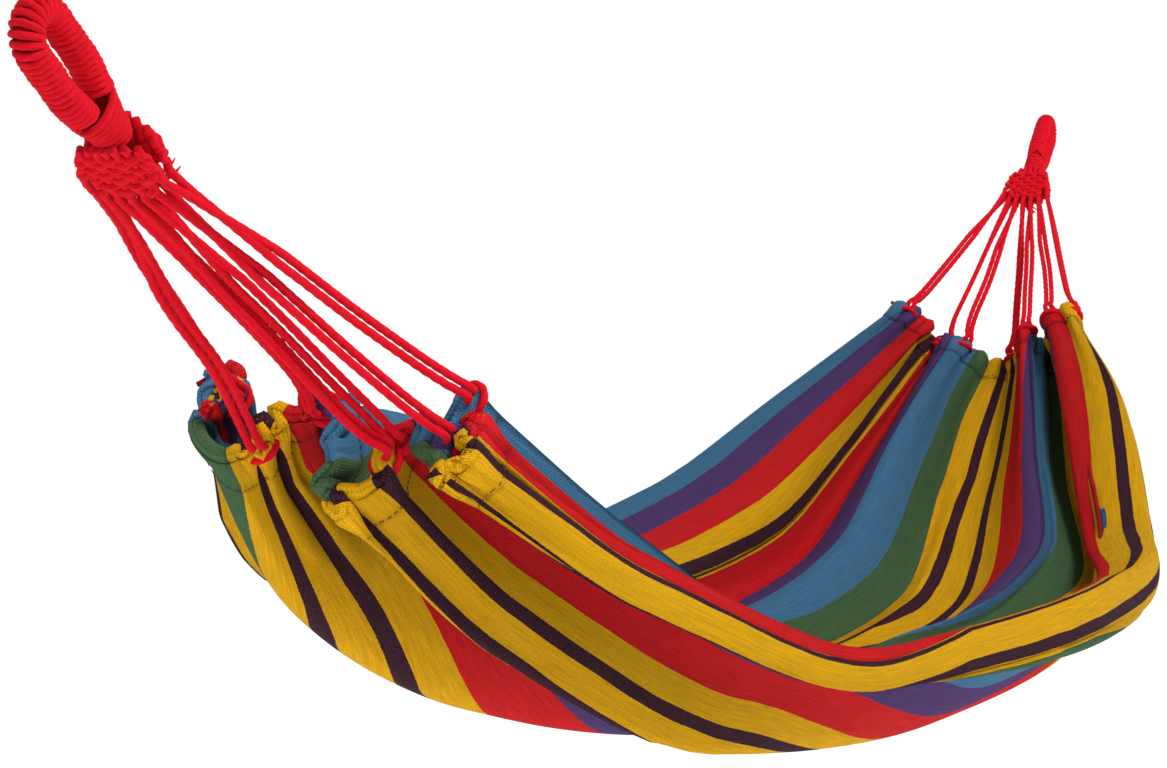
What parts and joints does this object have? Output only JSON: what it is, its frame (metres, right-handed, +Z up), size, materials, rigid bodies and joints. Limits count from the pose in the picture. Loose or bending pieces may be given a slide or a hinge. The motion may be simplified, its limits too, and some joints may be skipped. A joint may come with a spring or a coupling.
{
  "type": "rope hammock",
  "caption": "Gathered cotton hammock in long stripes, hung from a cord-wrapped eye loop at each end by red cords that fan from a woven collar to the hem.",
  "frame": {"origin": "inside of the crown of the head loop's eye, where its hook bears", "axes": "+X from the head end to the foot end, +Y across the bed to the far rim, +Z up"},
  "size_m": [2.6061, 0.8005, 0.6805],
  "materials": {
    "striped cloth": "coarse plain-weave cotton in long stripes of yellow, red, purple, blue and green, matt",
    "hem cloth": "the same cotton turned over and stitched into a tunnel",
    "cord core": "twisted cotton rope, matt",
    "red cord": "twisted red cotton cord, slightly hairy, matt"
  },
  "bodies": {
    "hangers": {"head_loop_core": "cord core", "head_loop_wrap": "red cord", "head_whipping": "red cord", "foot_loop_core": "cord core", "foot_loop_wrap": "red cord", "foot_whipping": "red cord"},
    "bed": {"bed_cloth": "striped cloth", "head_collar": "red cord", "head_hem": "hem cloth", "head_hem_rope": "cord core", "foot_collar": "red cord", "foot_hem": "hem cloth", "foot_hem_rope": "cord core", "head_cord_1": "red cord", "head_cord_2": "red cord", "head_cord_3": "red cord", "head_cord_4": "red cord", "head_cord_5": "red cord", "head_cord_6": "red cord", "head_cord_7": "red cord", "foot_cord_1": "red cord", "foot_cord_2": "red cord", "foot_cord_3": "red cord", "foot_cord_4": "red cord", "foot_cord_5": "red cord", "foot_cord_6": "red cord", "foot_cord_7": "red cord"}
  },
  "joints": [
    {"name": "bed_swing", "type": "hinge", "parent": "hangers", "child": "bed", "pos_m": [0.07901, 0, -0.0613], "axis": [1, 0, 0], "range_deg": [-35, 35]}
  ]
}
